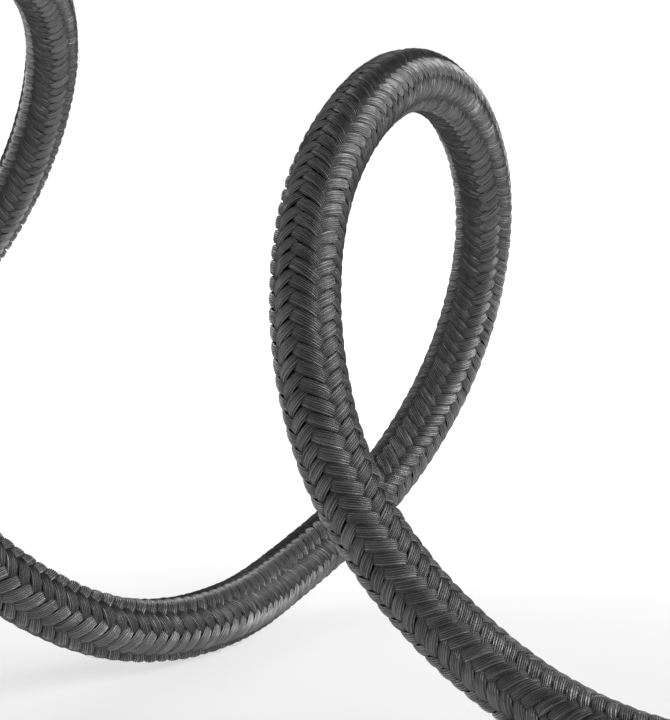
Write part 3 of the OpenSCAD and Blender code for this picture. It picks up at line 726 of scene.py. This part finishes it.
cut_rings = [
    [place, own_radius, 0.03]
    for edge, inwards in ((start, (1.35, 1.4, 1.6, 1.65)), (end, (-1.65, -1.6, -1.4, -1.35)))
    for place, own_radius in zip(
        (edge + at for at in inwards), (radius, radius - ring_cut, radius - ring_cut, radius)
    )
]
collar = turned("swivel_collar_knurled", [
    [start, tube_radius + running_fit, 0.15], [start, radius - 0.8, 0.2],
    [start + 0.8, radius, 0.3], *cut_rings,
    [end - 0.8, radius, 0.3], [end, radius - 0.6, 0.2], [end, flange_seat, 0.15],
    [step_at, flange_seat, 0.05], [step_at, tube_radius + running_fit, 0.05],
], tip_axis, around=10 * swivel_ridges, fine=0.25,
    relief=straight_knurl(start + 1.7, end - 1.7, radius, swivel_ridges, swivel_knurl))
nickel = ((0.70, 0.68, 0.65), (0.88, 0.86, 0.82), 0.22, 0.36)
satin_nickel = metal("satin_nickel", *nickel)
collar.data.materials.append(satin_nickel)
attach(collar, "swivel")
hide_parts("swivel_collar")


# --------------------------------------------------------- the threaded nose
# The tapered thread that screws into a camera's release socket is cut on a plated brass nose,
# which is pressed into the collar. The release pin comes out of its bore.
thread_pitch = 0.5
thread_depth = 0.28
thread_big, thread_small = 1.95, 1.65
neck_cut = 0.32
pin_hole = 0.9
tube_socket = 1.96

low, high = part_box("threaded_nose")
start, end = -1000 * high.y, -1000 * low.y
shoulder = start + 4.6
thread_start = shoulder + 0.8
bore_end = start + 3.0


def tapered_thread(place, radius, angle):
    """A single thread: the depth under the taper's own radius follows a V of the place in the
    pitch plus the angle's share of a turn, and runs out at both ends. The plus winds it
    left-handed, which is a fault: a camera's socket is right-handed, which takes a minus."""
    zone = between(place, thread_start - 0.1, end, 0.35) * (radius > pin_hole + 0.3)
    share = np.mod((place - thread_start) / thread_pitch + angle / (2 * np.pi), 1)
    groove = 1 - np.abs(2 * share - 1)
    return -thread_depth * zone * groove, zone * (0.9 - 2.0 * groove)


nose = turned("nose_tapered_thread", [
    [start, tube_socket, 0.05], [start, flange_seat, 0.1], [shoulder, flange_seat, 0.15],
    [shoulder, thread_big - neck_cut, 0.05], [thread_start - 0.1, thread_big - neck_cut, 0.05],
    [thread_start + 0.15, thread_big - 0.02, 0.05], [end - 0.3, thread_small + 0.02, 0.1],
    [end, thread_small - 0.30, 0.05], [end, pin_hole, 0.08], [bore_end, pin_hole, 0.05],
    [bore_end, tube_socket, 0.05],
], tip_axis, around=80, fine=0.055, relief=tapered_thread)
nose.data.materials.append(plated_brass)
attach(nose, "swivel")
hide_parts("threaded_nose")


# --------------------------------------------------- the end tube and the pin
# The end tube is a plain drawn tube with a rolled flange that holds the swivel. The hard steel
# pin, soldered to the core wire's end, slides in it and presses the camera's release.
ground = ((0.66, 0.66, 0.67), (0.85, 0.85, 0.85), 0.12, 0.22, 0.000001)
dress(metal("ground_steel_pin", *ground, drawn_along=1), "release_pin")


# --------------------------------------------------------------- the barrel
# The grip's body is turned from brass and plated in satin nickel. Its nose holds the ferrule, four
# grooves give the fingers hold, and a raised band carries the lock screw.
barrel_radius = 4.5
bore_radius = 3.3
web_start, web_end = -12, -10
wire_hole = 0.65
finger_grooves = 4
groove_first = -18
groove_pitch = 6
groove_width = 0.8
groove_deep = 0.35
knurl_ridges = 60
knurl_deep = 0.13

low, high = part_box("barrel")
start, end = 1000 * low.x, 1000 * high.x
axis_z = grip_axis[0][2]
band_radius = 500 * (high.y - low.y)
disc_low, disc_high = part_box("finger_disc")
hub_start, hub_end = 1000 * disc_low.x, 1000 * disc_high.x
band_start = hub_start - 8

grooves = []
for number in range(finger_grooves):
    at = groove_first + number * groove_pitch
    grooves += [
        [at, barrel_radius, 0.08], [at + 0.1, barrel_radius - groove_deep, 0.08],
        [at + groove_width, barrel_radius - groove_deep, 0.08],
        [at + groove_width + 0.1, barrel_radius, 0.08],
    ]


def barrel_knurl(place, radius, angle):
    """Fine straight knurling on the lands between the grooves: a cosine of the angle that runs
    out softly at both ends of each land."""
    lands = sum(
        between(place, groove_first + number * groove_pitch + groove_width + 0.5,
                groove_first + (number + 1) * groove_pitch - 0.4, 0.3)
        for number in range(finger_grooves - 1)
    ) * (radius > barrel_radius - 0.1)
    groove = lands * (0.5 + 0.5 * np.cos(knurl_ridges * angle))
    return -knurl_deep * groove, 0.7 * lands - 1.2 * groove


barrel = turned("barrel_turned", [
    [start, ferrule_radius, 0.1], [start, barrel_radius - 0.5, 0.3],
    [start + 0.6, barrel_radius, 0.4], *grooves,
    [band_start - 0.5, barrel_radius, 0.15], [band_start, band_radius, 0.2],
    [hub_start, band_radius, 0.15], [hub_start, barrel_radius, 0.05],
    [end, barrel_radius, 0.1], [end, bore_radius, 0.1], [web_end, bore_radius, 0.1],
    [web_end, wire_hole, 0.1], [web_start, wire_hole, 0.1], [web_start, ferrule_radius, 0.1],
], grip_axis, around=4 * knurl_ridges, fine=0.5, relief=barrel_knurl)
barrel.data.materials.append(satin_nickel)
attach(barrel, "grip")
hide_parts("barrel")


# ---------------------------------------------------------- the return spring
# A coil of spring wire, with its end turns closed, stands between the barrel's web and the stop
# collar. In use it shortens as the button goes down; here it is made at its rest length and stays
# so.
spring_radius = 2.3
spring_wire = 0.5
spring_turns = 8.5
closed_turns = 1.25
points_per_turn = 40

low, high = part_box("return_spring")
start, end = 1000 * low.x, 1000 * high.x
turns = np.linspace(0, spring_turns, int(spring_turns * points_per_turn))
lift = np.clip((turns - closed_turns) / (spring_turns - 2 * closed_turns), 0, 1)
rise = np.minimum(turns, closed_turns) + np.clip(turns - spring_turns + closed_turns, 0, None)
dead = 0.92 * spring_wire
free = end - start - spring_wire - 2 * closed_turns * dead
x = start + spring_wire / 2 + rise * dead + lift * free
angle = 2 * np.pi * turns
coil = np.stack([x, spring_radius * np.cos(angle),
                 1000 * axis_z + spring_radius * np.sin(angle)], axis=1)
spoke = np.stack([0 * x, np.cos(angle), np.sin(angle)], axis=1)
other = np.cross(unit(np.gradient(coil, axis=0)), spoke)
spring = swept("return_spring_coil", coil / 1000, spoke, other, circle(spring_wire / 2000, 12))
spring.data.materials.append(drawn_steel)
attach(spring, "grip")
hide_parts("return_spring")
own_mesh(spring)


# ------------------------------------------- stem, stop collar, nipple and cap
# The stem is a ground steel rod. A brass collar is pressed on it, and a brass nipple, soldered to
# the core wire, is pressed into its end. The plated cap is screwed into the barrel with a
# two-pin spanner and guides the stem.
brass = ((0.72, 0.55, 0.26), (0.88, 0.72, 0.40), 0.20, 0.36)
dress(metal("turned_brass", *brass, drawn_along=0), "stop_collar", "wire_nipple")
dress(metal("ground_steel_stem", *ground, drawn_along=0), "plunger_stem")
dress(metal("satin_nickel_cap", *nickel, drawn_along=0), "guide_cap")


# ------------------------------------------------------------ the finger disc
# Two fingers pull on this plated disc while the thumb presses. Its rim has a rolled bead, and its
# hub is held between the barrel's band and the cap's flange.
hub_radius = 5.8
rim_thick = 2.0
dish = 0.35
bead = 1.6

rim_radius = 500 * (disc_high.y - disc_low.y)
rim_start = (hub_start + hub_end - rim_thick) / 2
rim_end = rim_start + rim_thick

disc = turned("finger_disc_turned", [
    [hub_start, barrel_radius, 0.1], [hub_start, hub_radius, 0.3],
    [rim_start - 0.8, hub_radius, 0.3], [rim_start + 0.1, hub_radius + 0.8, 0.5],
    [rim_start + dish, hub_radius + 1.6, 0.5],
    [rim_start + dish, rim_radius - bead, 0.5], [rim_start, rim_radius - bead + 0.5, 0.3],
    [rim_start, rim_radius, 0.75], [rim_end, rim_radius, 0.75],
    [rim_end, rim_radius - bead + 0.5, 0.3], [rim_end - dish, rim_radius - bead, 0.5],
    [rim_end - dish, hub_radius + 1.6, 0.5], [rim_end - 0.1, hub_radius + 0.8, 0.5],
    [rim_end + 0.8, hub_radius, 0.3], [hub_end, hub_radius, 0.3], [hub_end, barrel_radius, 0.1],
], grip_axis, around=144, fine=0.3)
disc.data.materials.append(satin_nickel)
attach(disc, "grip")
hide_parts("finger_disc")


# ----------------------------------------------------------- the thumb button
# A mushroom button of polished black plastic is pressed on the stem. Its flat top has three shallow
# rings so that the thumb doesn't slip.
stem_radius = 1.5
socket_deep = 3
top_radius = 4.7
ring_radii = (4.0, 2.9, 1.8)
ring_deep = 0.14

low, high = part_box("thumb_button")
start, end, button_radius = 1000 * low.x, 1000 * high.x, 500 * (high.y - low.y)

black_plastic, tree, shader = new_material("black_plastic")
shader.inputs["Specular IOR Level"].default_value = 0.55
place = add(tree, "TexCoord", {})
smears = noise(tree, place.outputs["Object"], 260, 6, 0.6)
scratches = noise(tree, place.outputs["Object"], 1500, 8, 0.8, 1.5)
rubbed = add(tree, "Attribute", {}, attribute_name="wear_and_shade")
patchy = scaled(tree, rubbed.outputs["Fac"], 0.5, smears)
tree.links.new(
    ramp(tree, patchy, (0.35, (0.007, 0.007, 0.008)),
         (0.70, (0.013, 0.013, 0.014)), (0.98, (0.045, 0.045, 0.047))),
    shader.inputs["Base Color"],
)
tree.links.new(ranged(tree, smears, 0.35, 0.68, 0.14, 0.38), shader.inputs["Roughness"])
emboss(tree, shader, scratches, 0.000008, 0.35)

rings = []
for at in ring_radii:
    rings += [
        [end, at + 0.3, 0.08], [end - ring_deep, at + 0.2, 0.08],
        [end - ring_deep, at - 0.2, 0.08], [end, at - 0.3, 0.08],
    ]
button = turned("thumb_button_moulded", [
    [start + socket_deep, 0.02, 0], [start + socket_deep, stem_radius, 0.05],
    [start, stem_radius, 0.1], [start, stem_radius + 1.2, 0.2],
    [start + 0.8, stem_radius + 1.6, 0.4], [start + 1.7, button_radius - 1.4, 0.6],
    [start + 2.0, button_radius - 0.3, 0.3], [start + 2.5, button_radius, 0.4],
    [end - 1.2, button_radius, 0.6], [end - 0.5, button_radius - 0.4, 0.5],
    [end, top_radius, 0.6], *rings, [end, 0.02, 0],
], grip_axis, around=144, fine=0.25, loop=False)
button.data.materials.append(black_plastic)
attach(button, "plunger")
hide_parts("thumb_button")


# ------------------------------------------------------------- the lock screw
# A knurled and plated screw in the raised band clamps the stem for long exposures. A soft brass
# pad at its tip presses on the stem without scoring it.
screw_ridges = 18
screw_knurl = 0.25
shank_radius = 1.0
head_radius = 3.0
head_height = 3.2
pad_hole = 0.5
pad_hole_deep = 1.4

low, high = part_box("lock_screw")
screw_axis = (((low.x + high.x) / 2, (low.y + high.y) / 2, 0), (0, 0, 1), (1, 0, 0))
start, end = 1000 * low.z, 1000 * high.z
head = end - head_height

screw = turned("lock_screw_knurled", [
    [start + pad_hole_deep, 0.02, 0], [start + pad_hole_deep, pad_hole, 0.05],
    [start, pad_hole, 0.05], [start, shank_radius, 0.15], [head, shank_radius, 0.1],
    [head, head_radius - 0.4, 0.15], [head + 0.4, head_radius, 0.2],
    [end - 0.6, head_radius, 0.25], [end - 0.1, head_radius - 0.5, 0.25],
    [end, 1.0, 0.6], [end - 0.05, 0.55, 0.1], [end - 0.40, 0.02, 0],
], screw_axis, around=12 * screw_ridges, fine=0.2, loop=False,
    relief=straight_knurl(head + 0.35, end - 0.55, head_radius, screw_ridges, screw_knurl))
screw.data.materials.append(satin_nickel)
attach(screw, "screw")
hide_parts("lock_screw")
dress(metal("turned_brass_pad", *brass, drawn_along=2), "lock_pad")


# ----------------------------------------------------- the table and the light
# A wide sheet of white board lies under the part. It glows for the eye and for reflections, less
# close to the part, so that it looks white and still keeps the part's shadow. The light comes
# from a dim room, lighter on its left, and from five soft panels.
board = bpy.data.meshes.new("white_board")
half = 4.0
board.from_pydata([(-half, -half, 0), (half, -half, 0), (half, half, 0), (-half, half, 0)],
                  [], [(0, 1, 2, 3)])
floor = bpy.data.objects.new("white_board", board)
bpy.context.scene.collection.objects.link(floor)

paper, tree, shader = new_material("board_white")
shader.inputs["Roughness"].default_value = 0.9
shader.inputs["Specular IOR Level"].default_value = 0.1
rays = add(tree, "LightPath", {})
seen = add(tree, "Math", {0: rays.outputs["Is Camera Ray"], 1: rays.outputs["Is Glossy Ray"]},
           operation="MAXIMUM")
shade = mixed(tree, seen.outputs["Value"], (0.80, 0.80, 0.80, 1), (0.40, 0.40, 0.40, 1))
place = add(tree, "TexCoord", {})
parts = add(tree, "SeparateXYZ", {"Vector": place.outputs["Object"]})
# The board's side near the camera is dark to all but the eye, so that it adds hardly any light
# to the cable's side that faces the camera.
near = ranged(tree, parts.outputs["Y"], -0.10, 0.02)
dim = add(tree, "Math", {0: rays.outputs["Is Camera Ray"], 1: near}, operation="MAXIMUM")
wide = add(tree, "VectorMath", {0: place.outputs["Object"], 1: (0.4, 1, 1)}, operation="MULTIPLY")
far = add(tree, "VectorMath", {0: wide.outputs["Vector"], 1: (-0.04, 0, 0)}, operation="DISTANCE")
glow = ranged(tree, far.outputs["Value"], 0.01, 0.17, 0.56, 1.0, "SMOOTHSTEP")
lift = add(tree, "Math", {0: seen.outputs["Value"], 1: glow}, operation="MULTIPLY")
lift = add(tree, "Math", {0: lift.outputs["Value"], 1: dim.outputs["Value"]}, operation="MULTIPLY")
tree.links.new(mixed(tree, dim.outputs["Value"], (0.05, 0.05, 0.05, 1), shade),
               shader.inputs["Base Color"])
shader.inputs["Emission Color"].default_value = (1, 1, 1, 1)
tree.links.new(lift.outputs["Value"], shader.inputs["Emission Strength"])
board.materials.append(paper)

world = bpy.data.worlds.new("white_room")
bpy.context.scene.world = world
world.use_nodes = True
tree = world.node_tree
room = tree.nodes["Background"]
room.inputs["Color"].default_value = (1, 1, 1, 1)
toward = add(tree, "TexCoord", {})
parts = add(tree, "SeparateXYZ", {"Vector": toward.outputs["Generated"]})
side = ranged(tree, parts.outputs["X"], -0.80, 0.10, 0.40, 0.14, "SMOOTHSTEP")
rays = add(tree, "LightPath", {})
seen = add(tree, "Math", {0: rays.outputs["Is Camera Ray"], 1: rays.outputs["Is Transmission Ray"]},
           operation="MAXIMUM")
level = add(tree, "Math", {0: seen.outputs["Value"], 1: side}, operation="MAXIMUM")
tree.links.new(level.outputs["Value"], room.inputs["Strength"])

loops_middle = (-0.13, 0.04, 0.03)


def soft_panel(name, azimuth, distance, height, width, tall, glow):
    """A soft lamp as a panel that faces the loops. azimuth is its place round them, in degrees
    to the right of the line to the camera, and glow is its own brightness: its power is that
    times pi times its area."""
    lamp = bpy.data.lights.new(name, "AREA")
    lamp.shape = "RECTANGLE"
    lamp.size, lamp.size_y = width, tall
    lamp.energy = glow * math.pi * width * tall
    holder = bpy.data.objects.new(name, lamp)
    holder.visible_camera = False
    turn = math.radians(azimuth)
    holder.location = (loops_middle[0] + distance * math.sin(turn),
                       loops_middle[1] - distance * math.cos(turn), height)
    tilt = math.atan2(height - loops_middle[2], distance)
    holder.rotation_euler = (math.pi / 2 - tilt, 0, turn)
    bpy.context.scene.collection.objects.link(holder)


soft_panel("panel_right", 75, 1.0, 0.475, 0.52, 0.95, 4.6)
soft_panel("panel_right_back", 105, 0.9, 0.61, 0.48, 0.53, 4.6)
soft_panel("panel_right_front", 45, 1.0, 0.34, 0.52, 0.60, 3.6)
soft_panel("panel_left", -90, 1.0, 0.21, 1.15, 0.36, 1.8)
soft_panel("panel_left_back", 210, 0.9, 0.61, 1.04, 0.53, 1.8)

bpy.context.scene.view_settings.view_transform = "Standard"
